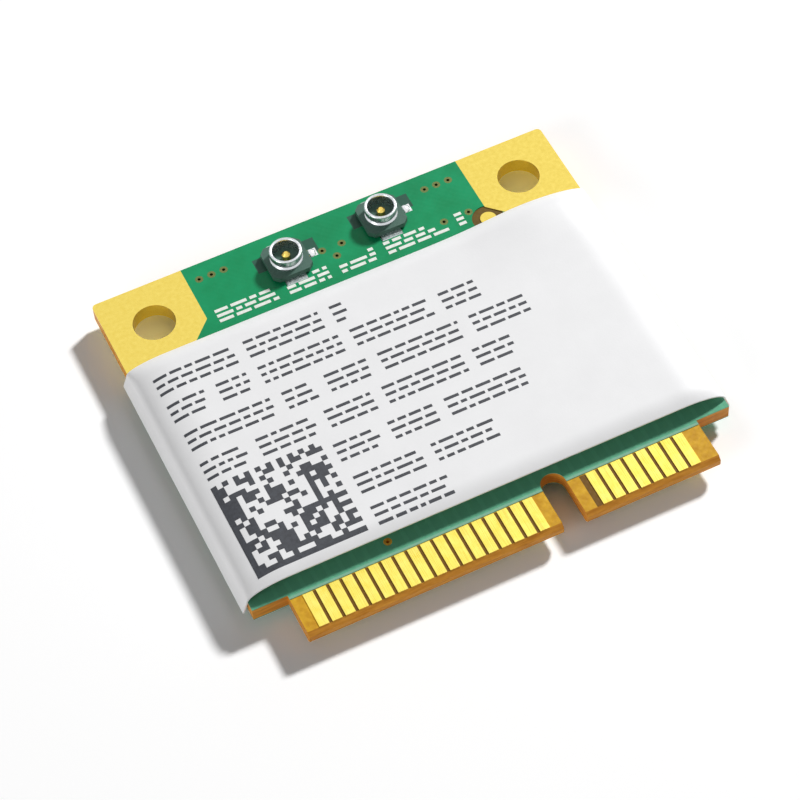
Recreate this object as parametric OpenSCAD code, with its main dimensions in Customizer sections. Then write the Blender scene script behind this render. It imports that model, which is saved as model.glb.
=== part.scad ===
// Half-height mini card with a wifi and bluetooth radio, lying flat on its underside.
// Millimetres. Origin at the middle of the underside, +Y away from the edge contacts, +Z up.

/* [Board] */
// Width of the board
board_w = 30; // [29:0.1:36]
// Length of the board from the edge of the tongue to the antenna edge
board_l = 26.8; // [26:0.1:51]
// Thickness of the finished board, with its solder mask and plating
board_t = 1; // [0.8:0.05:1.2]
// Radius of the two corners beside the antenna connectors
corner_r = 0.3; // [0.1:0.05:1]
// Solder mask and copper plating on each face
plate_t = 0.05; // [0.03:0.01:0.08]

/* [Tongue] */
// Width of each shoulder beside the tongue
shoulder_w = 2.15; // [1.5:0.05:3]
// Length of the tongue that goes into the slot
tongue_l = 2.9; // [2.5:0.05:4]
// Bevel along the leading edge of the tongue
bevel = 0.25; // [0.1:0.05:0.35]
// Width of the key slot
key_w = 1.5; // [1.2:0.05:1.8]
// Middle of the key slot, to the right of the middle of the board
key_x = 3.6; // [2.5:0.1:5]
// Depth of the key slot from the leading edge, with its round end
key_l = 3.5; // [3:0.1:4.2]

/* [Edge contacts] */
// Width of a contact
contact_w = 0.6; // [0.4:0.02:0.7]
// Spacing of the contacts
contact_pitch = 0.8; // [0.75:0.05:1]
// Length of a contact
contact_l = 2.3; // [1.8:0.05:2.5]
// Middle of the last upper contact from the wall of the key slot
key_gap = 1.05; // [0.8:0.05:1.4]
// Least distance from the side of the tongue to the middle of a contact
contact_margin = 1; // [0.8:0.05:1.5]

/* [Screw corners] */
// Diameter of each plated screw hole
hole_d = 2.6; // [2:0.1:3.2]
// Middle of a screw hole from both edges of its corner
hole_inset = 2.9; // [2.4:0.05:3.5]
// Cut across the inner corner of each gold land
land_cut = 1.7; // [0.5:0.1:2.2]

/* [Antenna connectors] */
// Spacing of the two connectors
antenna_pitch = 6.5; // [5:0.1:9]
// Middle of the right connector from the antenna edge
antenna_inset = 2; // [1.8:0.05:2.4]
// How much further the left connector stands from that edge
antenna_step = 0.45; // [0:0.05:0.6]
// Outer diameter of the round shell
shell_d = 2; // [1.8:0.05:2.2]
// Wall of the round shell
shell_wall = 0.2; // [0.12:0.01:0.25]
// Height of the connector above the board
antenna_h = 1.25; // [1:0.05:1.5]
// Side of the square insulator
base_w = 2.6; // [2.4:0.05:3]
// Cut across each corner of the insulator
base_cut = 0.35; // [0.1:0.05:0.5]
// Thickness of the insulator
base_t = 0.35; // [0.25:0.05:0.45]
// Diameter of the centre pin
pin_d = 0.5; // [0.3:0.05:0.6]

/* [Shield can] */
// Thickness of the sheet
sheet_t = 0.15; // [0.1:0.01:0.2]
// Free height between the tallest chip and the flange of the frame
can_room = 0.05; // [0.02:0.01:0.3]
// Board left free at each side of the can
can_side = 2.6; // [2.4:0.1:4]
// Depth of the folded rim of the lid
rim_h = 0.7; // [0.4:0.05:0.8]
// Width of the flange inside the top of the frame
flange_w = 0.7; // [0.4:0.05:1]

/* [Label] */
// Thickness of the label
label_t = 0.1; // [0.06:0.01:0.15]
// Front edge of the label from the shoulders of the board
label_gap = 0.55; // [0.3:0.05:2]
// Overhang of the label past the front of the can
label_near = 1.1; // [0.5:0.05:2]
// Overhang of the label past the far side of the can
label_over = 1.3; // [0.5:0.05:2]
// Height of the folded edges of the label above the underside of the board
label_clear = 0.15; // [0.05:0.05:0.6]
// How far those folded edges spring away from the sides of the board
label_flare = 0.3; // [0:0.05:0.4]
// Part of the can's height that the label keeps at its front edge
near_lift = 0.72; // [0.4:0.02:1]
// Part of the can's height that the label keeps at its far edge
far_lift = 0.5; // [0.3:0.02:1]
// Rise of the loose far right corner of the label
curl_h = 0.4; // [0:0.05:0.6]

/* [Parts under the can] */
// Side of the wifi chip
wifi_w = 6; // [5:0.1:7.2]
// Side of the bluetooth chip
blue_w = 5; // [4:0.1:6]
// Height of the two chips above their leads
chip_h = 0.8; // [0.6:0.05:0.85]
// Spacing of the chip leads
lead_pitch = 0.5; // [0.4:0.05:0.65]
// Length of a quartz crystal's can
crystal_l = 3.2; // [2.5:0.1:3.8]
// Width of a quartz crystal's can
crystal_w = 2.5; // [2:0.1:3]
// Length of a chip capacitor or resistor
chip_part_l = 1; // [0.8:0.05:1.2]
// Width of a chip capacitor or resistor
chip_part_w = 0.5; // [0.3:0.05:0.6]

/* [Hidden] */
$fn = 48;

fr4 = "#b0803c";
mask_green = "#1f9263";
gold = "#fbe87a";
via_gold = "#8f7440";
tin = "#c9ccd0";
steel = "#b9bcc0";
mould_black = "#26282b";
mould_green = "#34564a";
paper = "#fafafb";

// Places on the board
front_y = -board_l / 2;
far_y = board_l / 2;
tongue_w = board_w - 2 * shoulder_w;
core_bottom = plate_t;
core_top = board_t - plate_t;
mask_y = front_y + bevel + contact_l + plate_t;
row_shift = contact_pitch / 2;
land_w = 2 * hole_inset;
hole_x = board_w / 2 - hole_inset;
hole_y = far_y - hole_inset;
land_edge = board_w / 2 - land_w;
main_place = [-antenna_pitch / 2, far_y - antenna_inset - antenna_step];
aux_place = [antenna_pitch / 2, far_y - antenna_inset];
slack = 0.05; // room between the lid and the frame
past = 1; // how far a cut runs past the faces that it opens

// Antenna connectors: two ground tabs across, one signal tab to the right
tab_t = 0.1;
ground_tab_w = 1.3;
ground_reach = base_w / 2 + 0.3;
signal_tab_w = 0.5;
signal_reach = base_w / 2 + 0.1;
signal_pad_reach = base_w / 2 + 0.65;
leg_w = 0.8;
web_t = 0.1; // floor of the insulator under the shell
groove = shell_wall / 2; // depth of the snap groove round the shell
groove_step = 0.1; // height of each slope and of the floor of the groove
lip_r = shell_wall / 2; // round edge at the top of the shell
lip_steps = 6;
pin_below = 0.3; // top of the pin under the top of the shell
pad_under = 0.2; // how far a pad runs in under the insulator
solder_d = 0.65;
solder_h = 0.22;
solder_x = signal_pad_reach - solder_d / 2 - slack;

// Plated vias: rows beside the two lands, a few by the connectors, one behind the contacts
via_d = 0.5;
via_bore = 0.2;
via_wall = 0.06;
via_step = 0.8;
via_inset = 1.15; // each row of three from the antenna edge
via_start = 0.9; // first of each row from its land
via_shift = 0.15; // how far both rows stand to the left
pair_inset = 4; // the two by the right land, from the antenna edge
pair_start = 1.05; // first of them from that land
pair_step = 1.65;
trio_inset = 2.85; // the three by the left connector, from the antenna edge
trio_start = 0.3; // first of them from the signal pad
trio_step = 0.65;
trio_rise = 0.5; // how far the middle one stands nearer than the others
lone_x = -6.4; // the one behind the contacts
lone_inset = 0.65; // how far it stands behind the shoulders
via_row = [for (side = [-1, 1], i = [0:2])
    [side * (land_edge - via_start - via_step * i) - via_shift, far_y - via_inset]];
via_pair = [for (i = [0, 1]) [land_edge - pair_start - pair_step * i, far_y - pair_inset]];
pad_end = main_place[0] + signal_pad_reach;
via_trio = [for (i = [0:2])
    [pad_end + trio_start + trio_step * i, far_y - trio_inset + (i == 1 ? -trio_rise : trio_rise / 2)]];
via_points = concat(via_row, via_pair, via_trio, [[lone_x, front_y + tongue_l + lone_inset]]);

// Alignment marks: one by the right land, one in the opposite corner under the label
mark_d = 1;
mark_clear = 2;
mark_inset = 0.2; // the right one from the inner edge of the land
mark_rise = 0.8; // and from the near edge of the land
mark_side = 1.4; // the left one from the side of the board
mark_points = [[land_edge - mark_inset, far_y - land_w + mark_rise],
    [-board_w / 2 + mark_side, front_y + tongue_l + label_gap + mark_clear]];

// Round test pads on the underside, in two rows
test_d = 1;
test_cols = 6;
test_step = (board_w - 2 * land_w) / test_cols;
test_points = [for (row = [-1, 1], i = [0:test_cols - 1])
    [(i - (test_cols - 1) / 2) * test_step, row * board_l / 8]];

// The can, its free inside and the label's plateau on it
lead_t = 0.05;
bend = sheet_t + slack; // outer radius of a fold in the lid
rim_notch = 0.35; // open corner between two folded rims
bridge_w = 1.2; // strip across the open top of the frame
can_h = lead_t + chip_h + can_room + 2 * sheet_t;
can_w = board_w - 2 * can_side;
label_fold = board_t - label_clear;
label_y0 = front_y + tongue_l + label_gap;
label_y1 = far_y - land_w;
can_y0 = label_y0 + label_near;
can_y1 = label_y1 - label_over;
can_l = can_y1 - can_y0;
can_y = (can_y0 + can_y1) / 2;
frame_w = can_w - 2 * (sheet_t + slack);
frame_l = can_l - 2 * (sheet_t + slack);
frame_h = can_h - sheet_t;
room_w = frame_w - 2 * sheet_t;
room_l = frame_l - 2 * sheet_t;

// Parts inside the can stand in rows that share the free room evenly
function total(v, n) = n <= 0 ? 0 : v[n - 1] + total(v, n - 1);
function spread(sizes, span, i) = -span / 2 + total(sizes, i) + sizes[i] / 2
    + (i + 1) * (span - total(sizes, len(sizes))) / (len(sizes) + 1);

supply_l = 1.6;
inductor_w = 2;
inductor_l = 1.6;
inductor_h = chip_h;
regulator_w = 1.6;
regulator_l = 1.2;
memory_w = 3;
memory_l = 1.6;
small_h = 0.55;
chip_cut = 0.12; // chamfer down each corner of a moulded chip
lead_l = 0.4; // length of a lead under a square chip
end_lead_l = 0.3; // length of a lead under a small chip
core_well = 0.1; // depth of the round well in the inductor
tray_h = 0.35; // ceramic tray of a crystal
cover_h = 0.3; // welded cover on that tray
tray_rim = 0.15; // rim of the tray left round the cover
rf_l = 1.2;
filter_w = 2;
switch_w = 1.2;
row_depths = [chip_part_w, supply_l, max(wifi_w, blue_w), chip_part_w, rf_l];
function row_y(i) = can_y + spread(row_depths, room_l, i);

part_room = 0.9; // free length kept beside each chip part in its row
row_parts = floor(room_w / (chip_part_l + part_room));
row_sizes = [for (i = [1:row_parts]) chip_part_l];
cap_h = 0.5;
res_h = 0.35;
end_l = 0.22; // length of a metal end of a chip part

core_sizes = [crystal_l, wifi_w, crystal_w, blue_w];
supply_sizes = [inductor_w, regulator_w, memory_w, chip_part_l, chip_part_l];
rf_sizes = [filter_w, switch_w, switch_w, filter_w];
function core_x(i) = spread(core_sizes, room_w, i);
function supply_x(i) = spread(supply_sizes, room_w, i);
function rf_x(i) = spread(rf_sizes, room_w, i);

// Board
module key_slot() {
    translate([key_x - key_w / 2, front_y - past])
        square([key_w, key_l - key_w / 2 + past]);
    translate([key_x, front_y + key_l - key_w / 2])
        circle(d = key_w);
}

module board_outline() {
    difference() {
        union() {
            translate([-tongue_w / 2, front_y])
                square([tongue_w, tongue_l + past]);
            translate([-board_w / 2, front_y + tongue_l])
                square([board_w, board_l - tongue_l - corner_r]);
            translate([-board_w / 2 + corner_r, far_y - 2 * corner_r])
                square([board_w - 2 * corner_r, 2 * corner_r]);
            for (side = [-1, 1])
                translate([side * (board_w / 2 - corner_r), far_y - corner_r])
                    circle(r = corner_r);
        }
        key_slot();
    }
}

module at_holes() {
    for (side = [-1, 1])
        translate([side * hole_x, hole_y])
            children();
}

module bevel_cut() {
    translate([-board_w / 2, front_y, 0])
        rotate([90, 0, 90])
            linear_extrude(board_w)
                polygon([[-past, -past], [bevel + past, -past], [-past, bevel + past]]);
}

module board() {
    color(fr4)
    difference() {
        translate([0, 0, core_bottom])
            linear_extrude(core_top - core_bottom)
                difference() {
                    board_outline();
                    at_holes()
                        circle(d = hole_d + 2 * plate_t);
                    for (p = via_points)
                        translate(p)
                            circle(d = via_bore + 2 * via_wall);
                }
        translate([0, 0, core_bottom])
            bevel_cut();
        translate([0, 0, core_top])
            mirror([0, 0, 1])
                bevel_cut();
    }
}

// Gold land in the right corner, cut across its inner corner
module land_outline() {
    intersection() {
        board_outline();
        translate([hole_x, hole_y])
            polygon([[-hole_inset, hole_inset], [-hole_inset, land_cut - hole_inset],
                [land_cut - hole_inset, -hole_inset], [hole_inset, -hole_inset],
                [hole_inset, hole_inset]]);
    }
}

module land_plate() {
    linear_extrude(plate_t)
        difference() {
            land_outline();
            translate([hole_x, hole_y])
                circle(d = hole_d);
        }
}

// Both faces of a screw corner and the plated wall of its hole are one piece of copper
module screw_land() {
    land_plate();
    translate([0, 0, core_top])
        land_plate();
    translate([hole_x, hole_y, 0])
        difference() {
            cylinder(h = board_t, d = hole_d + 2 * plate_t);
            translate([0, 0, -past])
                cylinder(h = board_t + 2 * past, d = hole_d);
        }
}

module screw_land_right() {
    color(gold)
        screw_land();
}

module screw_land_left() {
    color(gold)
        mirror([1, 0, 0])
            screw_land();
}

// Green mask over a face, open at the contacts, the lands and whatever children() draws
module mask_sheet() {
    linear_extrude(plate_t)
        difference() {
            board_outline();
            translate([-board_w, front_y - past])
                square([2 * board_w, mask_y - front_y + past]);
            land_outline();
            mirror([1, 0])
                land_outline();
            for (p = via_points)
                translate(p)
                    circle(d = via_d);
            children();
        }
}

module solder_mask_top() {
    color(mask_green)
        translate([0, 0, core_top])
            mask_sheet() {
                for (p = mark_points)
                    translate(p)
                        circle(d = mark_clear);
                pad_outlines();
            }
}

module solder_mask_bottom() {
    color(mask_green)
        mask_sheet()
            for (p = test_points)
                translate(p)
                    circle(d = test_d);
}

// Contacts run outwards from the key slot, as many as the tongue holds
module contact_row(shift) {
    left_x = key_x - key_w / 2 - key_gap + shift;
    right_x = key_x + key_w / 2 + key_gap + row_shift + shift;
    reach = tongue_w / 2 - contact_margin;
    left_n = floor((left_x + reach) / contact_pitch + 0.01);
    right_n = floor((reach - right_x) / contact_pitch + 0.01);
    xs = concat([for (i = [0:left_n]) left_x - i * contact_pitch],
        [for (i = [0:right_n]) right_x + i * contact_pitch]);
    for (x = xs)
        translate([x - contact_w / 2, front_y + bevel, 0])
            cube([contact_w, contact_l, plate_t]);
}

module contacts_top() {
    color(gold)
        translate([0, 0, core_top])
            contact_row(0);
}

module contacts_bottom() {
    color(gold)
        contact_row(row_shift);
}

// Each via is a tube through the board with a ring on either face
module vias() {
    color(via_gold)
    for (p = via_points)
        translate(p)
            difference() {
                union() {
                    cylinder(h = board_t, d = via_bore + 2 * via_wall);
                    cylinder(h = plate_t, d = via_d);
                    translate([0, 0, core_top])
                        cylinder(h = plate_t, d = via_d);
                }
                translate([0, 0, -past])
                    cylinder(h = board_t + 2 * past, d = via_bore);
            }
}

module fiducials() {
    color(gold)
    for (p = mark_points)
        translate([p[0], p[1], core_top])
            cylinder(h = plate_t, d = mark_d);
}

module test_pads() {
    color(gold)
    for (p = test_points)
        translate(p)
            cylinder(h = plate_t, d = test_d);
}

module pad_outlines() {
    for (place = [main_place, aux_place])
        translate(place) {
            for (side = [-1, 1])
                translate([-ground_tab_w / 2 - slack, side > 0 ? base_w / 2 - pad_under : -ground_reach - slack])
                    square([ground_tab_w + 2 * slack, ground_reach + slack + pad_under - base_w / 2]);
            translate([base_w / 2 - pad_under, -signal_tab_w / 2 - slack])
                square([signal_pad_reach + pad_under - base_w / 2, signal_tab_w + 2 * slack]);
        }
}

module antenna_pads() {
    color(gold)
        translate([0, 0, core_top])
            linear_extrude(plate_t)
                pad_outlines();
}

// A bright bead of solder over the end of each signal tab
module antenna_solder() {
    ball_r = (solder_d * solder_d / 4 + solder_h * solder_h) / (2 * solder_h);
    color(tin)
    for (place = [main_place, aux_place])
        translate([place[0], place[1], board_t])
            difference() {
                intersection() {
                    translate([solder_x, 0, solder_h - ball_r])
                        sphere(r = ball_r);
                    translate([solder_x - solder_d, -solder_d, 0])
                        cube(2 * solder_d);
                }
                translate([0, -signal_tab_w / 2, -past])
                    cube([signal_reach, signal_tab_w, tab_t + past]);
            }
}

module at_antenna(place) {
    translate([place[0], place[1], board_t])
        children();
}

module shell_legs(h) {
    for (side = [-1, 1])
        intersection() {
            translate([-leg_w / 2, side > 0 ? 0 : -shell_d, 0])
                cube([leg_w, shell_d, h]);
            difference() {
                cylinder(h = h, d = shell_d);
                translate([0, 0, -past])
                    cylinder(h = h + 2 * past, d = shell_d - 2 * shell_wall);
            }
        }
}

// A rectangle with its four corners cut off, for moulded bodies
module cut_square(w, l, cut) {
    polygon([[-w / 2 + cut, -l / 2], [w / 2 - cut, -l / 2], [w / 2, -l / 2 + cut], [w / 2, l / 2 - cut],
        [w / 2 - cut, l / 2], [-w / 2 + cut, l / 2], [-w / 2, l / 2 - cut], [-w / 2, -l / 2 + cut]]);
}

module antenna_base() {
    groove_z = tab_t + web_t;
    difference() {
        translate([0, 0, tab_t])
            linear_extrude(base_t)
                cut_square(base_w, base_w, base_cut);
        translate([0, 0, groove_z])
            difference() {
                cylinder(h = base_t + past, d = shell_d);
                translate([0, 0, -past])
                    cylinder(h = base_t + 3 * past, d = shell_d - 2 * shell_wall);
            }
        shell_legs(groove_z);
        cylinder(h = base_t + past, d = pin_d);
    }
}

module antenna_shell() {
    r = shell_d / 2;
    shell_z = tab_t + web_t;
    seat_z = tab_t + base_t;
    lip = [for (i = [0:lip_steps]) [r - shell_wall / 2 + lip_r * cos(180 * i / lip_steps),
        antenna_h - lip_r + lip_r * sin(180 * i / lip_steps)]];
    rotate_extrude()
        polygon(concat([[r - shell_wall, shell_z], [r, shell_z], [r, seat_z + groove_step],
            [r - groove, seat_z + 2 * groove_step], [r - groove, seat_z + 3 * groove_step],
            [r, seat_z + 4 * groove_step]], lip));
    shell_legs(shell_z + slack);
    for (side = [-1, 1])
        translate([-ground_tab_w / 2, side > 0 ? r - shell_wall : -ground_reach, 0])
            cube([ground_tab_w, ground_reach - r + shell_wall, tab_t]);
}

module antenna_pin() {
    pin_h = antenna_h - pin_below;
    cylinder(h = pin_h - pin_d / 4, d = pin_d);
    translate([0, 0, pin_h - pin_d / 4])
        cylinder(h = pin_d / 4, d1 = pin_d, d2 = pin_d / 2);
    translate([0, -signal_tab_w / 2, 0])
        cube([signal_reach, signal_tab_w, tab_t]);
}

module antenna_base_main() { color(mould_green) at_antenna(main_place) antenna_base(); }
module antenna_shell_main() { color(tin) at_antenna(main_place) antenna_shell(); }
module antenna_pin_main() { color(gold) at_antenna(main_place) antenna_pin(); }
module antenna_base_aux() { color(mould_green) at_antenna(aux_place) antenna_base(); }
module antenna_shell_aux() { color(tin) at_antenna(aux_place) antenna_shell(); }
module antenna_pin_aux() { color(gold) at_antenna(aux_place) antenna_pin(); }

// Shield can: a soldered frame with a flange and a bridge, and a lid with four folded rims
module centred(w, l) {
    translate([-w / 2, can_y - l / 2])
        square([w, l]);
}

module shield_frame() {
    color(steel)
    translate([0, 0, board_t]) {
        linear_extrude(frame_h)
            difference() {
                centred(frame_w, frame_l);
                centred(room_w, room_l);
            }
        translate([0, 0, frame_h - sheet_t])
            linear_extrude(sheet_t)
                difference() {
                    centred(frame_w, frame_l);
                    difference() {
                        centred(room_w - 2 * flange_w, room_l - 2 * flange_w);
                        translate([core_x(1) + wifi_w / 2, can_y - can_l / 2])
                            square([bridge_w, can_l]);
                    }
                }
    }
}

module rim(length, reach) {
    translate([reach - bend, length / 2, 0])
        rotate([90, 0, 0])
            linear_extrude(length) {
                intersection() {
                    difference() {
                        translate([0, can_h - bend])
                            circle(r = bend);
                        translate([0, can_h - bend])
                            circle(r = bend - sheet_t);
                    }
                    translate([0, can_h - bend])
                        square(bend);
                }
                translate([bend - sheet_t, can_h - rim_h])
                    square([sheet_t, rim_h - bend]);
            }
}

module shield_lid() {
    color(steel)
    translate([0, can_y, board_t]) {
        translate([-can_w / 2 + bend, -can_l / 2 + bend, can_h - sheet_t])
            cube([can_w - 2 * bend, can_l - 2 * bend, sheet_t]);
        for (turn = [0, 180]) {
            rotate(turn)
                rim(can_l - 2 * bend - rim_notch, can_w / 2);
            rotate(turn + 90)
                rim(can_w - 2 * bend - rim_notch, can_l / 2);
        }
    }
}

// Leadless chips: a moulded body on flat leads and a ground pad
module chip_body(w, l, h) {
    translate([0, 0, lead_t])
        linear_extrude(h)
            cut_square(w, l, chip_cut);
}

module chip_leads(w, pad) {
    n = floor((w - 1) / lead_pitch);
    lead_w = lead_pitch / 2;
    for (turn = [0:90:270])
        rotate(turn)
            for (i = [0:n])
                translate([w / 2 - lead_l + slack, (i - n / 2) * lead_pitch - lead_w / 2, 0])
                    cube([lead_l, lead_w, lead_t]);
    translate([-pad / 2, -pad / 2, 0])
        cube([pad, pad, lead_t]);
}

module end_leads(w, l, n) {
    for (side = [-1, 1], i = [0:n - 1])
        translate([(i - (n - 1) / 2) * w / n - w / n / 4, side > 0 ? l / 2 - end_lead_l : -l / 2 - slack, 0])
            cube([w / n / 2, end_lead_l + slack, lead_t]);
}

module at_core(i) {
    translate([core_x(i), row_y(2), board_t])
        children();
}

module at_supply(i) {
    translate([supply_x(i), row_y(1), board_t])
        children();
}

module wifi_chip() { color(mould_black) at_core(1) chip_body(wifi_w, wifi_w, chip_h); }
module wifi_chip_leads() { color(tin) at_core(1) chip_leads(wifi_w, wifi_w * 0.6); }
module bluetooth_chip() { color(mould_black) at_core(3) chip_body(blue_w, blue_w, chip_h); }
module bluetooth_chip_leads() { color(tin) at_core(3) chip_leads(blue_w, blue_w * 0.6); }
module memory_chip() { color(mould_black) at_supply(2) chip_body(memory_w, memory_l, small_h); }
module memory_chip_leads() { color(tin) at_supply(2) end_leads(memory_w, memory_l, 4); }
module regulator() { color(mould_black) at_supply(1) chip_body(regulator_w, regulator_l, small_h); }
module regulator_leads() { color(tin) at_supply(1) end_leads(regulator_w, regulator_l, 3); }

module power_inductor() {
    color("#3b3d40")
    at_supply(0)
        difference() {
            translate([-inductor_w / 2, -inductor_l / 2, 0])
                cube([inductor_w, inductor_l, inductor_h]);
            translate([0, 0, inductor_h - core_well])
                cylinder(h = past, d = inductor_l * 0.7);
        }
}

// Quartz crystal: a ceramic tray with a welded metal cover
module crystal(w, l) {
    translate([-w / 2, -l / 2, 0])
        cube([w, l, tray_h]);
    translate([-w / 2 + tray_rim, -l / 2 + tray_rim, tray_h])
        cube([w - 2 * tray_rim, l - 2 * tray_rim, cover_h]);
}

module wifi_crystal() { color(tin) at_core(0) crystal(crystal_l, crystal_w); }
module bluetooth_crystal() { color(tin) at_core(2) crystal(crystal_w, crystal_l); }

module rf_switch() {
    color(mould_black)
    for (i = [1, 2])
        translate([rf_x(i) - switch_w / 2, row_y(4) - rf_l / 2, board_t])
            cube([switch_w, rf_l, small_h]);
}

module rf_filters() {
    color("#e4e2da")
    for (i = [0, 3])
        translate([rf_x(i) - filter_w / 2, row_y(4) - rf_l / 2, board_t])
            cube([filter_w, rf_l, small_h]);
}

// Chip capacitors stand in the front row, resistors in the row behind the chips
cap_places = concat([for (i = [0:row_parts - 1]) [spread(row_sizes, room_w, i), row_y(0)]],
    [for (i = [3, 4]) [supply_x(i), row_y(1)]]);
res_places = [for (i = [0:row_parts - 1]) [spread(row_sizes, room_w, i), row_y(3)]];
module chip_part_bodies(places, h) {
    for (p = places)
        translate([p[0] - chip_part_l / 2 + end_l, p[1] - chip_part_w / 2, board_t])
            cube([chip_part_l - 2 * end_l, chip_part_w, h]);
}

module chip_part_caps(places, h) {
    for (p = places, side = [0, 1])
        translate([p[0] - chip_part_l / 2 + side * (chip_part_l - end_l), p[1] - chip_part_w / 2, board_t])
            cube([end_l, chip_part_w, h]);
}

module capacitors() { color("#a58a63") chip_part_bodies(cap_places, cap_h); }
module resistors() { color(mould_black) chip_part_bodies(res_places, res_h); }
module chip_part_ends() {
    color(tin) {
        chip_part_caps(cap_places, cap_h);
        chip_part_caps(res_places, res_h);
    }
}

// Label: paper laid over the can, which sags to the board at both sides and folds down its edges
side_steps = 7;
flat_steps = 14;
sag_steps = 4;
body_steps = 6;
curl_r = 3.2; // spread of the lift at the loose corner
curl_inset = 4.2; // middle of that lift from the side of the board
curl_x = board_w / 2 - curl_inset;
label_ys = concat([for (i = [0:sag_steps - 1]) label_y0 + label_near * i / sag_steps],
    [for (i = [0:body_steps]) can_y0 + can_l * i / body_steps],
    [for (i = [1:sag_steps]) can_y1 + label_over * i / sag_steps]);

// Height of the paper's underside along its length: level on the can, sagging past it
function sag(y) = y < can_y0 ? 1 - (1 - near_lift) * pow((can_y0 - y) / label_near, 2)
    : y > can_y1 ? 1 - (1 - far_lift) * pow((y - can_y1) / label_over, 2) : 1;
function curl(x, y) = curl_h * exp(-(pow(x - curl_x, 2) + pow(y - label_y1, 2)) / pow(curl_r, 2));

// One cross-section: each entry is a point under the paper and the direction to its upper face
function side_arc(side, h, a) = [side * (board_w / 2 - can_side * (1 - cos(a))), h * sin(a),
    side * h * cos(a) / norm([h * cos(a), can_side * sin(a)]),
    can_side * sin(a) / norm([h * cos(a), can_side * sin(a)])];
function fold_edge(side) = [side * (board_w / 2 + label_flare), -label_fold,
    side * label_fold / norm([label_fold, label_flare]), label_flare / norm([label_fold, label_flare])];
function section(h) = concat([fold_edge(-1)],
    [for (i = [0:side_steps]) side_arc(-1, h, 90 * i / side_steps)],
    [for (i = [1:flat_steps - 1]) [-can_w / 2 + can_w * i / flat_steps, h, 0, 1]],
    [for (i = [side_steps:-1:0]) side_arc(1, h, 90 * i / side_steps)],
    [fold_edge(1)]);
function paper_point(p, y, t) = [p[0] + t * p[2], y,
    board_t + p[1] + t * p[3] + (p[1] > 0 ? curl(p[0], y) * p[3] : 0)];

module label() {
    color(paper)
    label_sheet();
}

// The sheet's outer and inner faces share one loop of points per cross-section
module label_sheet() {
    loops = [for (y = label_ys) let (s = section(can_h * sag(y)), n = len(s))
        concat([for (p = s) paper_point(p, y, label_t)],
            [for (i = [n - 1:-1:0]) paper_point(s[i], y, 0)])];
    n = len(loops[0]);
    m = len(loops);
    half = n / 2;
    walls = [for (j = [0:m - 2], i = [0:n - 1])
        each [[j * n + i, (j + 1) * n + (i + 1) % n, j * n + (i + 1) % n],
            [j * n + i, (j + 1) * n + i, (j + 1) * n + (i + 1) % n]]];
    ends = [for (i = [0:half - 2])
        each [[i, i + 1, n - 1 - i], [i + 1, n - 2 - i, n - 1 - i],
            [(m - 1) * n + i, (m - 1) * n + n - 1 - i, (m - 1) * n + i + 1],
            [(m - 1) * n + i + 1, (m - 1) * n + n - 1 - i, (m - 1) * n + n - 2 - i]]];
    polyhedron(points = [for (loop = loops) each loop], faces = concat(walls, ends));
}

board();
solder_mask_top();
solder_mask_bottom();
screw_land_left();
screw_land_right();
contacts_top();
contacts_bottom();
vias();
fiducials();
test_pads();
antenna_pads();
antenna_solder();
antenna_base_main();
antenna_shell_main();
antenna_pin_main();
antenna_base_aux();
antenna_shell_aux();
antenna_pin_aux();
shield_frame();
shield_lid();
wifi_chip();
wifi_chip_leads();
bluetooth_chip();
bluetooth_chip_leads();
memory_chip();
memory_chip_leads();
regulator();
regulator_leads();
power_inductor();
wifi_crystal();
bluetooth_crystal();
rf_switch();
rf_filters();
capacitors();
resistors();
chip_part_ends();
label();
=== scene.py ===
import math
import random

import bpy
from mathutils import Matrix, Vector


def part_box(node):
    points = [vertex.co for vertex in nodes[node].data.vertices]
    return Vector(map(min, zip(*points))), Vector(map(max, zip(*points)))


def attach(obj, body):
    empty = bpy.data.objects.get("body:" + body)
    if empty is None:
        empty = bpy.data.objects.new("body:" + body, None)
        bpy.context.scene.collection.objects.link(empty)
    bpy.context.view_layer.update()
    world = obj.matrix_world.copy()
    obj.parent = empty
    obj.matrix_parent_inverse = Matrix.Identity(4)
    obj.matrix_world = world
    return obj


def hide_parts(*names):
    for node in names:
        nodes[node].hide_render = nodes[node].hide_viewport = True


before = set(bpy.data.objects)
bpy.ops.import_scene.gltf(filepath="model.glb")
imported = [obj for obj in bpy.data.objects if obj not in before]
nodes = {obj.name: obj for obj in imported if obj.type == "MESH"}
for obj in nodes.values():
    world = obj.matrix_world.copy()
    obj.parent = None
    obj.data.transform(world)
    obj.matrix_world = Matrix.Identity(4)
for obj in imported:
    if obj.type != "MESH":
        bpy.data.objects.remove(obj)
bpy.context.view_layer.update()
mm = 0.001
print("frame loaded:", len(nodes), "nodes")


# sRGB hex to linear rgba
def linear(hexColour):
    parts = [int(hexColour[i:i + 2], 16) / 255 for i in (1, 3, 5)]
    return [c / 12.92 if c <= 0.04045 else ((c + 0.055) / 1.055) ** 2.4 for c in parts] + [1.0]


# one node with its own settings; an input takes a value or another node's socket
def addNode(tree, kind, inputs=None, **settings):
    node = tree.nodes.new(kind)
    for name, value in settings.items():
        setattr(node, name, value)
    for socket, value in (inputs or {}).items():
        if isinstance(value, bpy.types.NodeSocket):
            tree.links.new(value, node.inputs[socket])
        else:
            node.inputs[socket].default_value = value
    return node


# camera at the photo's angle, worked out from the contacts, holes and corners of the card
cameraView = dict(place=(-37.43, -91.93, 135.80), azimuth=21.59, elevation=54.15, roll=-4.81,
                  focal=129.33, sensor=36.0)


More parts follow.
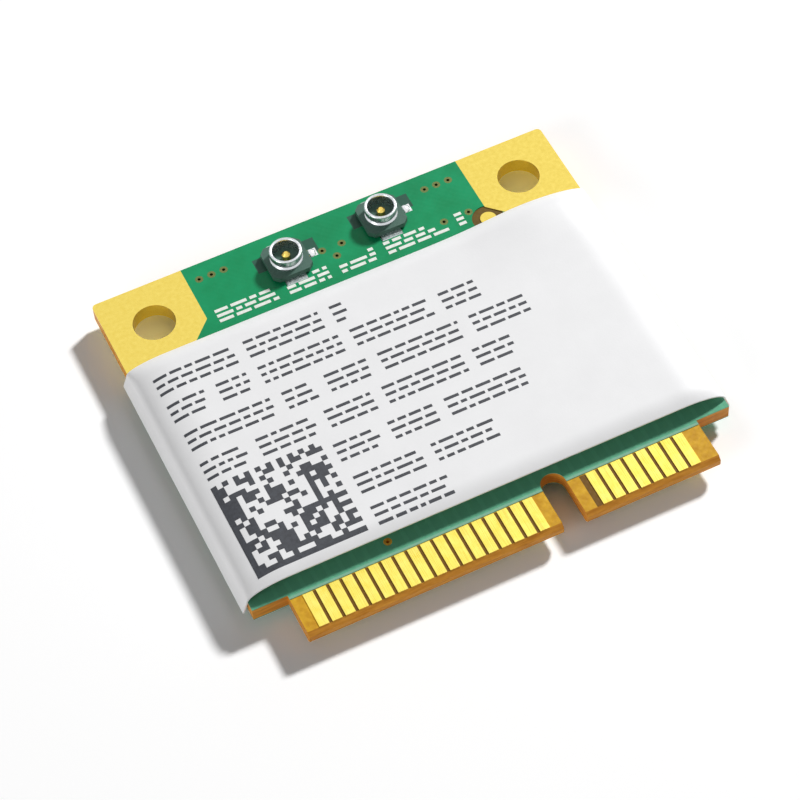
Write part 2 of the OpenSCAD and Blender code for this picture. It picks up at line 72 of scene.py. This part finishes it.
def addCamera(view):
    data = bpy.data.cameras.new("camera")
    data.lens = view["focal"]
    data.sensor_width = view["sensor"]
    data.clip_start = 0.01
    data.clip_end = 10
    camera = bpy.data.objects.new("camera", data)
    turn = (Matrix.Rotation(math.radians(-view["azimuth"]), 4, "Z")
            @ Matrix.Rotation(math.radians(90 - view["elevation"]), 4, "X")
            @ Matrix.Rotation(math.radians(view["roll"]), 4, "Z"))
    camera.matrix_world = Matrix.Translation(Vector(view["place"]) * mm) @ turn
    bpy.context.scene.collection.objects.link(camera)
    bpy.context.scene.camera = camera


addCamera(cameraView)

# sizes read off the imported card, in millimetres
boardLow, boardHigh = [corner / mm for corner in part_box("board")]
lidLow, lidHigh = [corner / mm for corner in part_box("shield_lid")]
labelLow, labelHigh = [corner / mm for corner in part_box("label")]
maskLow, maskHigh = [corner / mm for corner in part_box("solder_mask_top")]
contactLow, contactHigh = [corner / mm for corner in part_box("contacts_top")]
markLow, markHigh = [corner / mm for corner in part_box("fiducials")]
markPlace = markHigh - Vector((0.5, 0.5, 0))
boardTop = maskHigh.z
connectorPlaces = []
for name in ("antenna_shell_main", "antenna_shell_aux"):
    low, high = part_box(name)
    connectorPlaces.append(((low + high) / 2) / mm)


# A mesh piece from points in millimetres, smooth except across sharp edges
def makePiece(name, points, faces, material, sharpAngle=35):
    mesh = bpy.data.meshes.new(name)
    mesh.from_pydata([(x * mm, y * mm, z * mm) for x, y, z in points], [], faces)
    mesh.update()
    mesh.shade_smooth()
    mesh.set_sharp_from_angle(angle=math.radians(sharpAngle))
    mesh.materials.append(material)
    piece = bpy.data.objects.new(name, mesh)
    bpy.context.scene.collection.objects.link(piece)
    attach(piece, "root")
    return piece


# Materials

# principled shader with object coordinates in millimetres
def newMaterial(name, roughness, metallic=0.0, ior=None):
    material = bpy.data.materials.new(name)
    material.use_nodes = True
    tree = material.node_tree
    tree.nodes.clear()
    shader = addNode(tree, "ShaderNodeBsdfPrincipled", {"Roughness": roughness, "Metallic": metallic})
    if ior:
        shader.inputs["IOR"].default_value = ior
    addNode(tree, "ShaderNodeOutputMaterial", {"Surface": shader.outputs["BSDF"]})
    place = addNode(tree, "ShaderNodeTexCoord")
    inMm = addNode(tree, "ShaderNodeVectorMath", {0: place.outputs["Object"], 1: (1000, 1000, 1000)},
                   operation="MULTIPLY")
    return material, tree, shader, inMm.outputs["Vector"]


# fractal noise whose coarsest features are about size millimetres across
def grain(tree, place, size, detail=4.0):
    noise = addNode(tree, "ShaderNodeTexNoise", {"Vector": place, "Scale": 1 / size, "Detail": detail,
                                                 "Roughness": 0.6})
    return noise.outputs["Fac"]


# spreads a 0 to 1 noise between two colours
def twoTone(tree, factor, low, high):
    spread = addNode(tree, "ShaderNodeMapRange", {"Value": factor, "From Min": 0.3, "From Max": 0.7})
    mix = addNode(tree, "ShaderNodeMix", {"Factor": spread.outputs["Result"], "A": linear(low),
                                          "B": linear(high)}, data_type="RGBA")
    return mix.outputs["Result"]


def addRelief(tree, shader, height, depth, strength=1.0):
    bump = addNode(tree, "ShaderNodeBump", {"Height": height, "Distance": depth * mm, "Strength": strength})
    tree.links.new(bump.outputs["Normal"], shader.inputs["Normal"])
    return bump


def roughnessFrom(tree, shader, factor, low, high):
    spread = addNode(tree, "ShaderNodeMapRange", {"Value": factor, "From Min": 0.3, "From Max": 0.7,
                                                  "To Min": low, "To Max": high})
    tree.links.new(spread.outputs["Result"], shader.inputs["Roughness"])


# a plain finish: two tones, one grain size in mm, a roughness range and a relief depth in mm
def grainedMaterial(name, tones, size, roughness, depth, metallic=0.0, ior=None):
    material, tree, shader, place = newMaterial(name, roughness[0], metallic, ior)
    noise = grain(tree, place, size)
    tree.links.new(twoTone(tree, noise, *tones), shader.inputs["Base Color"])
    roughnessFrom(tree, shader, noise, *roughness)
    addRelief(tree, shader, noise, depth)
    return material


# 1 inside a rectangle of the board, given by its middle and half sizes in mm
def inside(tree, axes, middle, half):
    alongX = addNode(tree, "ShaderNodeMath", {0: axes.outputs["X"], 1: middle[0], 2: half[0]},
                     operation="COMPARE")
    alongY = addNode(tree, "ShaderNodeMath", {0: axes.outputs["Y"], 1: middle[1], 2: half[1]},
                     operation="COMPARE")
    both = addNode(tree, "ShaderNodeMath", {0: alongX.outputs[0], 1: alongY.outputs[0]}, operation="MULTIPLY")
    return both.outputs[0]


def calc(tree, operation, *values):
    return addNode(tree, "ShaderNodeMath", dict(enumerate(values)), operation=operation).outputs[0]


solderMask = dict(
    tones=("#048a54", "#0c9862"),   # mask over solid copper, with the weave under it showing faintly
    bare="#2f5a4a",                 # mask over laminate with no copper, seen darker
    edge="#8fb8a0",                 # thin pale edge where the mask ends behind the contacts, partly its own end and partly painted highlight along its bevel
    strip="#66ad8d",                # mask over bare laminate and traces behind the contacts, paler, and lightened further as painted light against the label's shade there
    traceTone="#6cbb97",
    blotch=1.6, weave=0.45, weaveDepth=0.004,
    clearHalf=(2.0, 0.55), clearShift=(0.15, 0.55),
    traceWidth=0.25, traceFrom=0.3, edgeWidth=0.16)


# Photo-imaged epoxy solder mask: a semi-gloss green film that lets copper edges and the glass weave show
def makeSolderMask(m):
    material, tree, shader, place = newMaterial("solder_mask_film", 0.38, ior=1.52)
    # the matting agent in the film halves what it mirrors
    shader.inputs["Specular IOR Level"].default_value = 0.25
    axes = addNode(tree, "ShaderNodeSeparateXYZ", {"Vector": place})
    colour = twoTone(tree, grain(tree, place, m["blotch"]), *m["tones"])

    # copper traces run back from each upper contact
    pitch = 0.8
    phase = calc(tree, "SUBTRACT", axes.outputs["X"], contactLow.x + 0.3)
    fromLine = calc(tree, "PINGPONG", phase, pitch / 2)
    onTrace = calc(tree, "LESS_THAN", fromLine, m["traceWidth"] / 2)
    strip = calc(tree, "LESS_THAN", axes.outputs["Y"], contactHigh.y + 1.7)
    trace = calc(tree, "MULTIPLY", onTrace, strip)
    # the strip behind the contacts goes to a paler tone: partly its own colour, partly painted light that offsets the
    # shade under the label's front edge
    colour = addNode(tree, "ShaderNodeMix", {"Factor": calc(tree, "MULTIPLY", strip, 0.85), "A": colour,
                                             "B": linear(m["strip"])}, data_type="RGBA").outputs["Result"]
    share = calc(tree, "MULTIPLY", trace, 0.3)
    colour = addNode(tree, "ShaderNodeMix", {"Factor": share, "A": colour, "B": linear(m["traceTone"])},
                     data_type="RGBA").outputs["Result"]

    # copper is cleared away round each antenna connector
    clear = None
    for spot in connectorPlaces:
        middle = (spot.x + m["clearShift"][0], spot.y + m["clearShift"][1])
        patch = inside(tree, axes, middle, m["clearHalf"])
        clear = patch if clear is None else calc(tree, "MAXIMUM", clear, patch)
    colour = addNode(tree, "ShaderNodeMix", {"Factor": clear, "A": colour, "B": linear(m["bare"])},
                     data_type="RGBA").outputs["Result"]

    # pale band at the mask's end: partly the mask's own edge, partly a painted highlight along its bevel
    edgeHighlightBand = calc(tree, "LESS_THAN", axes.outputs["Y"], maskLow.y + m["edgeWidth"])
    colour = addNode(tree, "ShaderNodeMix", {"Factor": calc(tree, "MULTIPLY", edgeHighlightBand, 0.7), "A": colour,
                                             "B": linear(m["edge"])}, data_type="RGBA").outputs["Result"]
    tree.links.new(colour, shader.inputs["Base Color"])

    # plain weave of the glass cloth, two crossed waves, plus the step at each trace
    wave = 2 * math.pi / m["weave"]
    warp = calc(tree, "SINE", calc(tree, "MULTIPLY", axes.outputs["X"], wave))
    weft = calc(tree, "SINE", calc(tree, "MULTIPLY", axes.outputs["Y"], wave))
    weave = calc(tree, "MULTIPLY", warp, weft)
    height = calc(tree, "ADD", calc(tree, "MULTIPLY", weave, 0.3), calc(tree, "SUBTRACT", trace, clear))
    addRelief(tree, shader, height, m["weaveDepth"])
    roughnessFrom(tree, shader, grain(tree, place, 0.3), 0.32, 0.44)
    return material


laminate = dict(
    faceTones=("#c58e1a", "#e2b02c"),   # resin and glass seen flat, amber
    wallTones=("#c07a24", "#e29e3c"),   # routed edge, browner, with cut glass plies
    gap="#5c3c0c",                      # painted shade in the narrow gaps between the contacts
    slotMiddle=3.6, slotHalf=1.5,       # no gap tone beside the key slot
    ringShade="#3a3216", ringRadius=1.3,   # painted shade in the mask opening round the alignment marks
    ply=0.16, weave=0.45)


# FR4 glass epoxy, routed and bevelled: amber on its faces, browner and layered on its cut edges
def makeLaminate(m):
    material, tree, shader, place = newMaterial("fr4_laminate", 0.5, ior=1.55)
    # the routed and etched resin is dull, so most of what is seen is its own amber
    shader.inputs["Specular IOR Level"].default_value = 0.2
    axes = addNode(tree, "ShaderNodeSeparateXYZ", {"Vector": place})
    face = twoTone(tree, grain(tree, place, 0.5), *m["faceTones"])
    squashed = addNode(tree, "ShaderNodeVectorMath", {0: place, 1: (0.6, 0.6, 1 / m["ply"])},
                       operation="MULTIPLY")
    plies = addNode(tree, "ShaderNodeTexNoise", {"Vector": squashed.outputs["Vector"], "Scale": 1.0,
                                                 "Detail": 3.0})
    wall = twoTone(tree, plies.outputs["Fac"], *m["wallTones"])
    normal = addNode(tree, "ShaderNodeNewGeometry")
    up = addNode(tree, "ShaderNodeSeparateXYZ", {"Vector": normal.outputs["Normal"]})
    flat = calc(tree, "GREATER_THAN", calc(tree, "ABSOLUTE", up.outputs["Z"]), 0.9)
    rowMiddle = ((contactLow.x + contactHigh.x) / 2, (contactLow.y + contactHigh.y) / 2)
    rowHalf = ((contactHigh.x - contactLow.x) / 2, (contactHigh.y - contactLow.y) / 2)
    # painted shade between the contacts, left out beside the key slot
    fromSlot = calc(tree, "ABSOLUTE", calc(tree, "SUBTRACT", axes.outputs["X"], m["slotMiddle"]))
    between = calc(tree, "MULTIPLY", inside(tree, axes, rowMiddle, rowHalf),
                   calc(tree, "GREATER_THAN", fromSlot, m["slotHalf"]))
    between = calc(tree, "MULTIPLY", between, 0.9)
    face = addNode(tree, "ShaderNodeMix", {"Factor": between, "A": face, "B": linear(m["gap"])},
                   data_type="RGBA").outputs["Result"]
    # painted shade in the opening round the alignment mark
    markX = calc(tree, "SUBTRACT", axes.outputs["X"], markPlace.x)
    markY = calc(tree, "SUBTRACT", axes.outputs["Y"], markPlace.y)
    markRange = calc(tree, "SQRT", calc(tree, "ADD", calc(tree, "MULTIPLY", markX, markX),
                                        calc(tree, "MULTIPLY", markY, markY)))
    nearMark = calc(tree, "MULTIPLY", calc(tree, "LESS_THAN", markRange, m["ringRadius"]), 0.85)
    face = addNode(tree, "ShaderNodeMix", {"Factor": nearMark, "A": face, "B": linear(m["ringShade"])},
                   data_type="RGBA").outputs["Result"]
    colour = addNode(tree, "ShaderNodeMix", {"Factor": flat, "A": wall, "B": face}, data_type="RGBA")
    tree.links.new(colour.outputs["Result"], shader.inputs["Base Color"])
    wave = 2 * math.pi / m["weave"]
    warp = calc(tree, "SINE", calc(tree, "MULTIPLY", axes.outputs["X"], wave))
    weft = calc(tree, "SINE", calc(tree, "MULTIPLY", axes.outputs["Y"], wave))
    addRelief(tree, shader, calc(tree, "MULTIPLY", warp, weft), 0.003)
    return material


goldFinger = dict(tones=("#f0da5e", "#f8e878"), wear="#dcb84c", scratch=0.06, roughness=(0.22, 0.38))


# Hard gold over nickel on the edge contacts: bright, with fine lengthwise wear from the slot's springs
def makeGoldFinger(m):
    material, tree, shader, place = newMaterial("hard_gold_contact", 0.3, metallic=1.0)
    stretched = addNode(tree, "ShaderNodeVectorMath", {0: place, 1: (1 / m["scratch"], 0.5, 1.0)},
                        operation="MULTIPLY")
    lines = addNode(tree, "ShaderNodeTexNoise", {"Vector": stretched.outputs["Vector"], "Scale": 1.0,
                                                 "Detail": 2.0})
    base = twoTone(tree, grain(tree, place, 0.6), *m["tones"])
    worn = addNode(tree, "ShaderNodeMapRange", {"Value": lines.outputs["Fac"], "From Min": 0.6,
                                                "From Max": 0.75, "To Max": 0.5})
    colour = addNode(tree, "ShaderNodeMix", {"Factor": worn.outputs["Result"], "A": base,
                                             "B": linear(m["wear"])}, data_type="RGBA")
    tree.links.new(colour.outputs["Result"], shader.inputs["Base Color"])
    roughnessFrom(tree, shader, lines.outputs["Fac"], *m["roughness"])
    addRelief(tree, shader, lines.outputs["Fac"], 0.0015)
    return material


viaRing = dict(masked=("#4f6a3e", "#75733f"), bare=("#e3982c", "#f4b648"), size=0.1)


# Copper round the plated holes: dull under the mask, and bare, oxidised orange, behind the contacts
def makeViaRing(m):
    material, tree, shader, place = newMaterial("via_ring_copper", 0.45, metallic=0.7)
    axes = addNode(tree, "ShaderNodeSeparateXYZ", {"Vector": place})
    noise = grain(tree, place, m["size"])
    isBare = calc(tree, "LESS_THAN", axes.outputs["Y"], 0.0)
    colour = addNode(tree, "ShaderNodeMix", {"Factor": isBare, "A": twoTone(tree, noise, *m["masked"]),
                                             "B": twoTone(tree, noise, *m["bare"])}, data_type="RGBA")
    tree.links.new(colour.outputs["Result"], shader.inputs["Base Color"])
    roughnessFrom(tree, shader, noise, 0.38, 0.52)
    addRelief(tree, shader, noise, 0.002)
    return material


paper = dict(tones=("#f0f0f1", "#f4f4f5"), fibre=0.12, cloud=2.5, depth=0.0035)


# Coated polyester label stock, cast smooth: white, with a faint sheen and hardly any grain
def makeLabelStock(m):
    material, tree, shader, place = newMaterial("coated_label_stock", 0.5, ior=1.48)
    tree.links.new(twoTone(tree, grain(tree, place, m["cloud"]), *m["tones"]), shader.inputs["Base Color"])
    fibres = grain(tree, place, m["fibre"], detail=2.0)
    addRelief(tree, shader, fibres, m["depth"])
    roughnessFrom(tree, shader, fibres, 0.44, 0.56)
    return material


materials = dict(
    solderMask=makeSolderMask(solderMask),
    laminate=makeLaminate(laminate),
    goldFinger=makeGoldFinger(goldFinger),
    labelStock=makeLabelStock(paper),
    viaRing=makeViaRing(viaRing),
    # immersion gold over nickel on the lands: satin yellow with a fine even grain
    goldLand=grainedMaterial("immersion_gold_land", ("#ebd060", "#f1d96e"), 0.25, (0.2, 0.26), 0.001,
                             metallic=1.0),
    # stamped phosphor bronze with bright tin: pale grey, faint drawn lines
    brightTin=grainedMaterial("stamped_tin_plate", ("#c4c7cb", "#dde0e3"), 0.15, (0.2, 0.34), 0.002,
                              metallic=1.0),
    # reflowed solder: smooth, nearly white where it mirrors the room
    solder=grainedMaterial("reflowed_solder", ("#e2e3e6", "#f4f5f6"), 0.2, (0.14, 0.26), 0.001,
                           metallic=1.0),
    # gold on the connector's centre pin
    goldPin=grainedMaterial("turned_gold_pin", ("#e3c25c", "#f4d978"), 0.1, (0.2, 0.3), 0.001,
                            metallic=1.0),
    # glass-filled nylon insulator, moulded: dark green grey with a fine spark-eroded grain
    insulator=grainedMaterial("moulded_nylon_insulator", ("#2c4d42", "#3c6153"), 0.06, (0.5, 0.65), 0.004,
                              ior=1.53),
    # drawn and folded tin-plated steel: soft grey with rolling grain
    canSteel=grainedMaterial("rolled_can_steel", ("#b2b5b9", "#c8cbcf"), 0.4, (0.28, 0.42), 0.002,
                             metallic=1.0),
    # transfer-moulded epoxy of the chips: matt charcoal with silica grain
    chipMould=grainedMaterial("epoxy_chip_mould", ("#1f2124", "#2d3034"), 0.05, (0.6, 0.75), 0.004,
                              ior=1.55),
    # fired alumina and glass, white and tan, and pressed ferrite
    whiteCeramic=grainedMaterial("fired_white_ceramic", ("#dcdad2", "#eceae4"), 0.1, (0.35, 0.5), 0.002,
                                 ior=1.6),
    tanCeramic=grainedMaterial("fired_tan_ceramic", ("#96795a", "#b09470"), 0.08, (0.4, 0.55), 0.002,
                               ior=1.6),
    ferrite=grainedMaterial("pressed_ferrite", ("#34363a", "#46494d"), 0.06, (0.5, 0.7), 0.004, ior=1.8),
    # thermal transfer resin on the label: near black, with light pinholes
    labelInk=grainedMaterial("thermal_transfer_ink", ("#26282e", "#3b3e45"), 0.2, (0.45, 0.6), 0.001,
                             ior=1.5),
    # screen-printed epoxy ink on the board: warm white, slightly uneven
    boardInk=grainedMaterial("screen_printed_ink", ("#e6ebe2", "#f8faf4"), 0.25, (0.5, 0.65), 0.004,
                             ior=1.5),
)

finishOfNode = {
    "board": "laminate", "solder_mask_top": "solderMask", "solder_mask_bottom": "solderMask",
    "screw_land_left": "goldLand", "screw_land_right": "goldLand", "contacts_top": "goldFinger",
    "contacts_bottom": "goldFinger", "vias": "viaRing", "fiducials": "goldLand", "test_pads": "goldLand",
    "antenna_pads": "solder", "antenna_solder": "solder", "shield_frame": "canSteel",
    "shield_lid": "canSteel", "wifi_chip": "chipMould", "bluetooth_chip": "chipMould",
    "memory_chip": "chipMould", "regulator": "chipMould", "power_inductor": "ferrite",
    "wifi_crystal": "canSteel", "bluetooth_crystal": "canSteel", "rf_switch": "chipMould",
    "rf_filters": "whiteCeramic", "capacitors": "tanCeramic", "resistors": "chipMould",
    "chip_part_ends": "solder", "label": "labelStock"}
for name, node in nodes.items():
    if name in finishOfNode:
        finish = finishOfNode[name]
    elif name.startswith("antenna_base"):
        finish = "insulator"
    elif name.startswith("antenna_shell"):
        finish = "brightTin"
    elif name.startswith("antenna_pin"):
        finish = "goldPin"
    else:
        finish = "solder"           # chip leads
    for slot in node.material_slots:
        slot.link = "OBJECT"
        slot.material = materials[finish]
print("materials assigned:", len(materials))


# Label: one sheet over the can, sagging past its ends and down both sides of the board, with its far
# right corner lifted. Millimetres, heights from the top of the board.
label = dict(
    thickness=0.092, nearLift=0.72, farLift=0.5, curlHeight=0.4, curlRadius=3.2, curlFromSide=4.2, flare=0.3,
    foldSteps=3, arcSteps=20, flatSteps=60, sagSteps=12, bodySteps=48)
label.update(
    half=boardHigh.x, canHalf=lidHigh.x, reach=boardHigh.x - lidHigh.x, plateau=lidHigh.z - boardTop,
    fold=boardTop - labelLow.z, near=labelLow.y, far=labelHigh.y, canNear=lidLow.y, canFar=lidHigh.y)


def sag(y):
    if y < label["canNear"]:
        share = (label["canNear"] - y) / (label["canNear"] - label["near"])
        return 1 - (1 - label["nearLift"]) * share ** 2
    if y > label["canFar"]:
        share = (y - label["canFar"]) / (label["far"] - label["canFar"])
        return 1 - (1 - label["farLift"]) * share ** 2
    return 1.0


def curl(x, y):
    away = (x - label["half"] + label["curlFromSide"]) ** 2 + (y - label["far"]) ** 2
    return label["curlHeight"] * math.exp(-away / label["curlRadius"] ** 2)


# a point at an angle up one side of the sheet, lifted off its lower face along the normal
def sidePoint(side, angle, y, lift):
    height = label["plateau"] * sag(y)
    reach = label["reach"]
    normal = Vector((side * height * math.cos(angle), reach * math.sin(angle))).normalized()
    x = side * (label["half"] - reach * (1 - math.cos(angle)))
    z = height * math.sin(angle) + curl(x, y) * (normal.y if angle > 0 else 0)
    return (x + lift * normal.x, y, boardTop + z + lift * normal.y)


# a point of the sheet above any x and y of the board
def paperPoint(x, y, lift):
    if abs(x) <= label["canHalf"]:
        return (x, y, boardTop + label["plateau"] * sag(y) + curl(x, y) + lift)
    inward = min(label["half"] - abs(x), label["reach"])
    angle = math.acos(1 - max(inward, 0) / label["reach"])
    return sidePoint(math.copysign(1, x), angle, y, lift)


# the folded edge springs away from the board's side; share runs from its lower end up to the board's top
def foldPoint(side, share, y, lift):
    normal = Vector((label["fold"], label["flare"])).normalized()
    low = Vector((label["half"] + label["flare"] + lift * normal.x, boardTop - label["fold"] + lift * normal.y))
    across, z = low.lerp(Vector((label["half"] + lift, boardTop)), share)
    return (side * across, y, z)


def labelSection(y, lift):
    row = [foldPoint(-1, i / label["foldSteps"], y, lift) for i in range(label["foldSteps"])]
    angles = [math.pi / 2 * i / label["arcSteps"] for i in range(label["arcSteps"] + 1)]
    row += [sidePoint(-1, angle, y, lift) for angle in angles]
    row += [paperPoint(label["canHalf"] * (2 * i / label["flatSteps"] - 1), y, lift)
            for i in range(1, label["flatSteps"])]
    row += [sidePoint(1, angle, y, lift) for angle in reversed(angles)]
    row += [foldPoint(1, i / label["foldSteps"], y, lift) for i in reversed(range(label["foldSteps"]))]
    return row


def makeLabel():
    def span(start, end, steps):
        return [start + (end - start) * i / steps for i in range(steps)]
    rows = (span(label["near"], label["canNear"], label["sagSteps"])
            + span(label["canNear"], label["canFar"], label["bodySteps"])
            + span(label["canFar"], label["far"], label["sagSteps"]) + [label["far"]])
    points, faces = [], []
    for y in rows:
        points += labelSection(y, label["thickness"]) + labelSection(y, 0)[::-1]
    around = len(points) // len(rows)
    half = around // 2
    for j in range(len(rows) - 1):
        for i in range(around):
            k = (i + 1) % around
            faces.append((j * around + i, j * around + k, (j + 1) * around + k, (j + 1) * around + i))
    last = (len(rows) - 1) * around
    for i in range(half - 1):
        faces.append((i, around - 1 - i, around - 2 - i, i + 1))
        faces.append((last + i, last + i + 1, last + around - 2 - i, last + around - 1 - i))
    piece = makePiece("label_sheet", points, faces, materials["labelStock"])
    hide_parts("label")
    return piece


makeLabel()
print("label sheet laid over the can")


# Flat closed slabs of ink that follow a surface; the surface maps x, y and a lift to a point
def addSlab(points, faces, x0, x1, y0, y1, surface, low, high, step):
    countX = max(1, math.ceil((x1 - x0) / step))
    countY = max(1, math.ceil((y1 - y0) / step))
    start = len(points)
    for lift in (low, high):
        for j in range(countY + 1):
            for i in range(countX + 1):
                points.append(surface(x0 + (x1 - x0) * i / countX, y0 + (y1 - y0) * j / countY, lift))
    wide = countX + 1
    layer = wide * (countY + 1)
    for j in range(countY):
        for i in range(countX):
            a = start + j * wide + i
            b, c, d = a + 1, a + 1 + wide, a + wide
            faces.append((a, d, c, b))
            faces.append((a + layer, b + layer, c + layer, d + layer))
    for i in range(countX):
        a = start + i
        faces.append((a, a + 1, a + 1 + layer, a + layer))
        a = start + countY * wide + i
        faces.append((a + 1, a, a + layer, a + 1 + layer))
    for j in range(countY):
        a = start + j * wide
        faces.append((a + wide, a, a + layer, a + wide + layer))
        a = start + j * wide + countX
        faces.append((a, a + wide, a + wide + layer, a + layer))


# Where words would be: groups of short dashes on three lines, with no letter or sign in them
def addDashRow(points, faces, row, style, surface, seed):
    rng = random.Random(seed)
    x, end, foot = row
    while x < end:
        group = min(rng.uniform(*style["group"]), end - x)
        for k in range(3):
            y = foot + k * (style["tall"] - style["stroke"]) / 2
            u = x
            while x + group - u > style["stroke"]:
                run = min(rng.uniform(*style["dash"]), x + group - u)
                blocked = any(u < right and u + run > left and y + style["stroke"] > near
                              for left, right, near in style["keepOff"])
                if not blocked:
                    addSlab(points, faces, u, u + run, y, y + style["stroke"], surface, style["low"],
                            style["high"], 0.3)
                u += run + style["gap"]
        x += group + style["space"]


def onPaper(x, y, lift):
    return paperPoint(x, y, label["thickness"] + lift)


def onMask(x, y, lift):
    return (x, y, boardTop + lift)


labelPrint = dict(
    low=-0.004, high=0.008, tall=1.3, stroke=0.2, gap=0.2, dash=(0.3, 1.0), group=(1.8, 5.5), space=0.75,
    keepOff=(),
    # start and end of each row along x and its foot along y, in mm
    rows=((-14.0, -1.9, 4.5), (-14.0, 5.6, 2.4), (-13.9, 8.2, 0.1), (-13.9, 6.0, -2.2),
          (-6.7, 6.0, -4.6), (-6.6, 2.5, -7.1), (-6.6, -1.4, -9.4)),
    matrixCorner=(-14.0, -9.4), matrixSide=6.7, matrixCells=20)


def makeLabelPrint(p):
    points, faces = [], []
    for number, row in enumerate(p["rows"]):
        addDashRow(points, faces, row, p, onPaper, number)

    # a square block of random cells, with a solid border on two sides and a broken one on the others
    rng = random.Random(11)
    count = p["matrixCells"]
    cell = p["matrixSide"] / count
    left, bottom = p["matrixCorner"]
    for row in range(count):
        filled = []
        for col in range(count):
            if row == 0 or col == 0:
                filled.append(True)
            elif row == count - 1:
                filled.append(col % 2 == 0)
            elif col == count - 1:
                filled.append(row % 2 == 0)
            else:
                filled.append(rng.random() < 0.5)
        col = 0
        while col < count:
            run = 0
            while col + run < count and filled[col + run]:
                run += 1
            if run:
                addSlab(points, faces, left + col * cell, left + (col + run) * cell, bottom + row * cell,
                        bottom + (row + 1) * cell, onPaper, p["low"], p["high"], 0.3)
            col += run + 1
    return makePiece("label_print", points, faces, materials["labelInk"])


makeLabelPrint(labelPrint)
print("label printed with plain marks")


boardPrint = dict(row=(-8.6, 7.7, 8.65), low=-0.01, high=0.015, tall=1.0, stroke=0.22, gap=0.2,
                  dash=(0.35, 1.1), group=(2.0, 5.0), space=0.7, seed=5,
                  # left and right end and near side of each place that the print keeps off: the
                  # connectors' near legs and the vias between them
                  keepOff=((-4.2, -2.3, 9.4), (-0.6, 0.2, 9.4), (6.0, 6.6, 8.9)))


def makeBoardPrint(p):
    points, faces = [], []
    addDashRow(points, faces, p["row"], p, onMask, p["seed"])
    return makePiece("board_print", points, faces, materials["boardInk"])


makeBoardPrint(boardPrint)
print("white marks printed on the board")


# Stage: a white floor a little below the card, so that its shadow comes clear of it as in the photo, a key
# lamp behind on the right, a weak, wide and low fill in front on the left, and an even sky
stage = dict(floorSize=3000, floorDepth=0.8, floorColour="#ffffff", skyLevel=0.11, floorSeen=1.12,
             key=dict(level=1.1, azimuth=64, elevation=39, distance=900, size=120),
             fill=dict(level=0.42, azimuth=248, elevation=17, distance=900, size=520))


# 1 for rays that are seen or mirrored, 0 for those that light other surfaces
def seenDirectly(tree):
    path = addNode(tree, "ShaderNodeLightPath")
    seen = calc(tree, "MAXIMUM", path.outputs["Is Camera Ray"], path.outputs["Is Glossy Ray"])
    return calc(tree, "MAXIMUM", seen, path.outputs["Is Transmission Ray"])


# a disk lamp whose light renders a facing white surface at the stated level
def addLamp(name, level, azimuth, elevation, distance, size):
    across, up = math.radians(azimuth), math.radians(elevation)
    direction = Vector((math.sin(across) * math.cos(up), math.cos(across) * math.cos(up), math.sin(up)))
    data = bpy.data.lights.new(name, "AREA")
    data.shape = "DISK"
    data.size = size * mm
    data.energy = level * math.pi ** 2 * (distance * mm) ** 2
    lamp = bpy.data.objects.new(name, data)
    lamp.location = direction * distance * mm
    lamp.rotation_mode = "QUATERNION"
    lamp.rotation_quaternion = (-direction).to_track_quat("-Z", "Y")
    bpy.context.scene.collection.objects.link(lamp)


def makeStage(s):
    half = s["floorSize"] / 2
    mesh = bpy.data.meshes.new("floor")
    corners = [(x * half * mm, y * half * mm, -s["floorDepth"] * mm)
               for x, y in ((-1, -1), (1, -1), (1, 1), (-1, 1))]
    mesh.from_pydata(corners, [], [(0, 1, 2, 3)])
    floorMaterial = bpy.data.materials.new("matt_white_floor")
    floorMaterial.use_nodes = True
    tree = floorMaterial.node_tree
    tree.nodes.clear()
    # the eye and mirrors see the floor a little brighter, so it comes out white where it is lit
    level = addNode(tree, "ShaderNodeMapRange", {"Value": seenDirectly(tree), "To Min": 1.0,
                                                 "To Max": s["floorSeen"]})
    shade = addNode(tree, "ShaderNodeVectorMath", {0: linear(s["floorColour"])[:3],
                                                   "Scale": level.outputs["Result"]}, operation="SCALE")
    matt = addNode(tree, "ShaderNodeBsdfDiffuse", {"Color": shade.outputs["Vector"]})
    addNode(tree, "ShaderNodeOutputMaterial", {"Surface": matt.outputs["BSDF"]})
    mesh.materials.append(floorMaterial)
    floor = bpy.data.objects.new("floor", mesh)
    bpy.context.scene.collection.objects.link(floor)

    addLamp("key", **s["key"])
    addLamp("fill", **s["fill"])

    world = bpy.data.worlds.new("sky")
    bpy.context.scene.world = world
    world.use_nodes = True
    tree = world.node_tree
    tree.nodes.clear()
    level = addNode(tree, "ShaderNodeMapRange", {"Value": seenDirectly(tree), "To Min": s["skyLevel"], "To Max": 1.0})
    sky = addNode(tree, "ShaderNodeBackground", {"Color": (1, 1, 1, 1), "Strength": level.outputs["Result"]})
    addNode(tree, "ShaderNodeOutputWorld", {"Surface": sky.outputs["Background"]})


makeStage(stage)
bpy.context.scene.view_settings.view_transform = "Standard"
print("stage, lamp and sky set")
